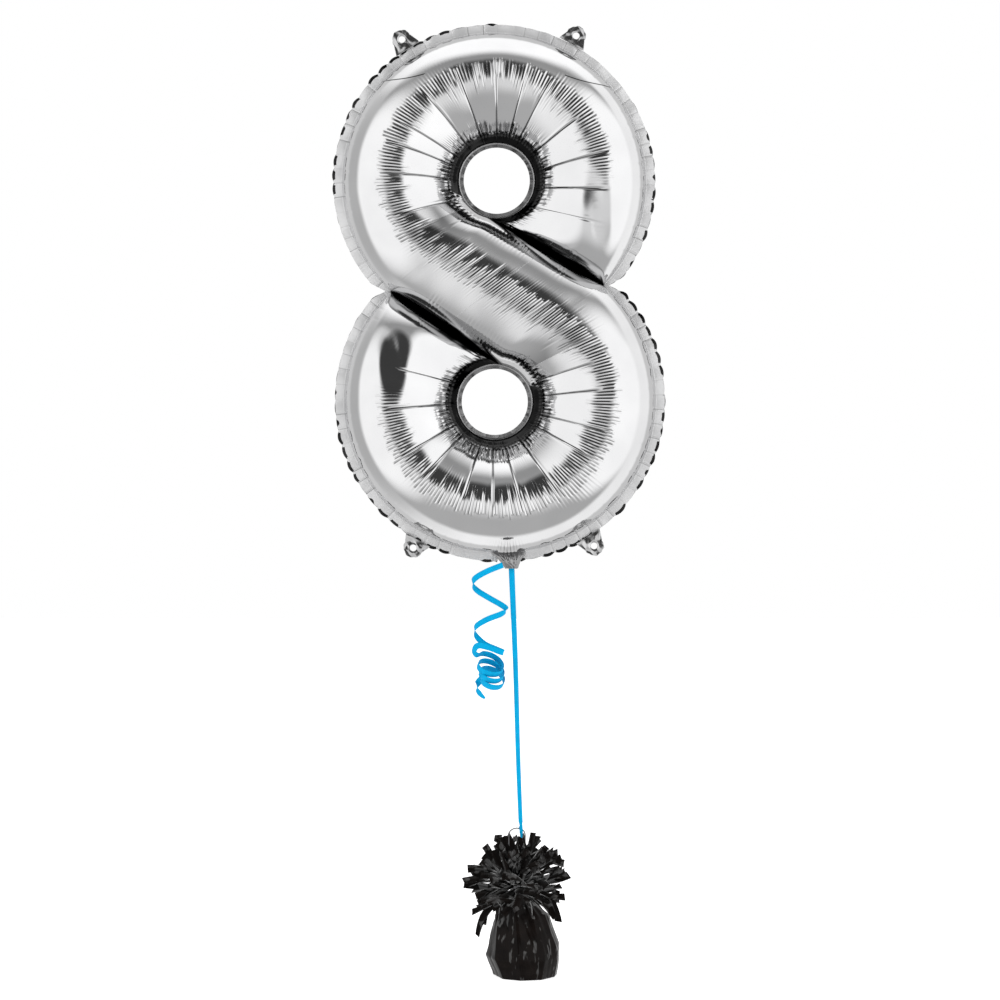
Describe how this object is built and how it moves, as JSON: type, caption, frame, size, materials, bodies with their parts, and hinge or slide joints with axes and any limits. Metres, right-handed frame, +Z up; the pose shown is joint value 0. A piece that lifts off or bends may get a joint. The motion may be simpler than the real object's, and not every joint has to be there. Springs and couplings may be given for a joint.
{
  "type": "foil number balloon on a weight",
  "caption": "Number-shaped silver foil balloon with hanging ears and a filling neck, on a flat ribbon with a curled free end, tied to the hook of a foil-wrapped, fringed weight.",
  "frame": {"origin": "middle of the weight's flat base, on the floor", "axes": "+X to the right as seen from the front, +Y to the back, +Z up"},
  "size_m": [0.507, 0.1538, 1.4532],
  "materials": {
    "silver_foil": "polished",
    "tab_foil": "polished",
    "valve_film": "gloss",
    "blue_ribbon": "satin",
    "black_foil": "gloss",
    "hook_wire": "satin",
    "core_iron": "matte"
  },
  "bodies": {
    "weight": {"weight_core": "core_iron", "foil_wrap": "black_foil", "gather_tie": "black_foil", "fringe_tier_1": "black_foil", "fringe_tier_2": "black_foil", "fringe_tier_3": "black_foil", "fringe_tier_4": "black_foil", "fringe_tier_5": "black_foil"},
    "hook": {"weight_hook": "hook_wire"},
    "tether": {"ribbon_tether": "blue_ribbon", "ribbon_hook_knot": "blue_ribbon"},
    "neck": {"inflation_neck": "tab_foil", "ribbon_neck_knot": "blue_ribbon"},
    "balloon": {"front_foil_panel": "silver_foil", "back_foil_panel": "silver_foil"},
    "valve_front": {"valve_front_film": "valve_film"},
    "valve_back": {"valve_back_film": "valve_film"},
    "curl": {"ribbon_curl": "blue_ribbon"},
    "tab_top_left": {"hang_tab_top_left": "tab_foil"},
    "tab_top_right": {"hang_tab_top_right": "tab_foil"},
    "tab_bottom_left": {"hang_tab_bottom_left": "tab_foil"},
    "tab_bottom_right": {"hang_tab_bottom_right": "tab_foil"}
  },
  "joints": [
    {"name": "hook_sway", "type": "hinge", "parent": "weight", "child": "hook", "pos_m": [-0.012, 0, 0.16], "axis": [1, 0, 0], "range_deg": [-25, 25], "stiffness_Nm_per_rad": 0.7},
    {"name": "ribbon_sway", "type": "hinge", "parent": "hook", "child": "tether", "pos_m": [-0.007, 0, 0.2236], "axis": [0, 1, 0], "range_deg": [-25, 25], "stiffness_Nm_per_rad": 0.7},
    {"name": "balloon_spin", "type": "hinge", "parent": "tether", "child": "neck", "pos_m": [-0.0205, 0, 0.6315], "axis": [0, 0, 1], "range_deg": [-180, 180], "stiffness_Nm_per_rad": 0.003},
    {"name": "balloon_nod", "type": "hinge", "parent": "neck", "child": "balloon", "pos_m": [-0.0255, 0, 0.6436], "axis": [1, 0, 0], "range_deg": [-18, 18], "stiffness_Nm_per_rad": 0.35},
    {"name": "curl_sway", "type": "hinge", "parent": "neck", "child": "curl", "pos_m": [-0.0335, -0.0125, 0.627], "axis": [1, 0, 0], "range_deg": [-25, 25]},
    {"name": "valve_front_open", "type": "hinge", "parent": "balloon", "child": "valve_front", "pos_m": [-0.0255, -0.0004, 0.65], "axis": [1, 0, 0], "range_deg": [0, 8], "stiffness_Nm_per_rad": 0.0005},
    {"name": "valve_back_open", "type": "hinge", "parent": "balloon", "child": "valve_back", "pos_m": [-0.0255, 0.0004, 0.65], "axis": [1, 0, 0], "range_deg": [-8, 0], "stiffness_Nm_per_rad": 0.0005},
    {"name": "tab_top_left_fold", "type": "hinge", "parent": "balloon", "child": "tab_top_left", "pos_m": [-0.17914, 0, 1.41614], "axis": [0.8395, 0, 0.5434], "range_deg": [-50, 50], "stiffness_Nm_per_rad": 0.002},
    {"name": "tab_top_right_fold", "type": "hinge", "parent": "balloon", "child": "tab_top_right", "pos_m": [0.0718, 0, 1.42387], "axis": [0.8722, 0, -0.4891], "range_deg": [-50, 50], "stiffness_Nm_per_rad": 0.002},
    {"name": "tab_bottom_left_fold", "type": "hinge", "parent": "balloon", "child": "tab_bottom_left", "pos_m": [-0.16392, 0, 0.66431], "axis": [-0.8626, 0, 0.5059], "range_deg": [-50, 50], "stiffness_Nm_per_rad": 0.002},
    {"name": "tab_bottom_right_fold", "type": "hinge", "parent": "balloon", "child": "tab_bottom_right", "pos_m": [0.09698, 0, 0.66967], "axis": [-0.8404, 0, -0.5419], "range_deg": [-50, 50], "stiffness_Nm_per_rad": 0.002}
  ],
  "couplings": [
    {"joint": "valve_back_open", "follows": "valve_front_open", "ratio": -1}
  ]
}
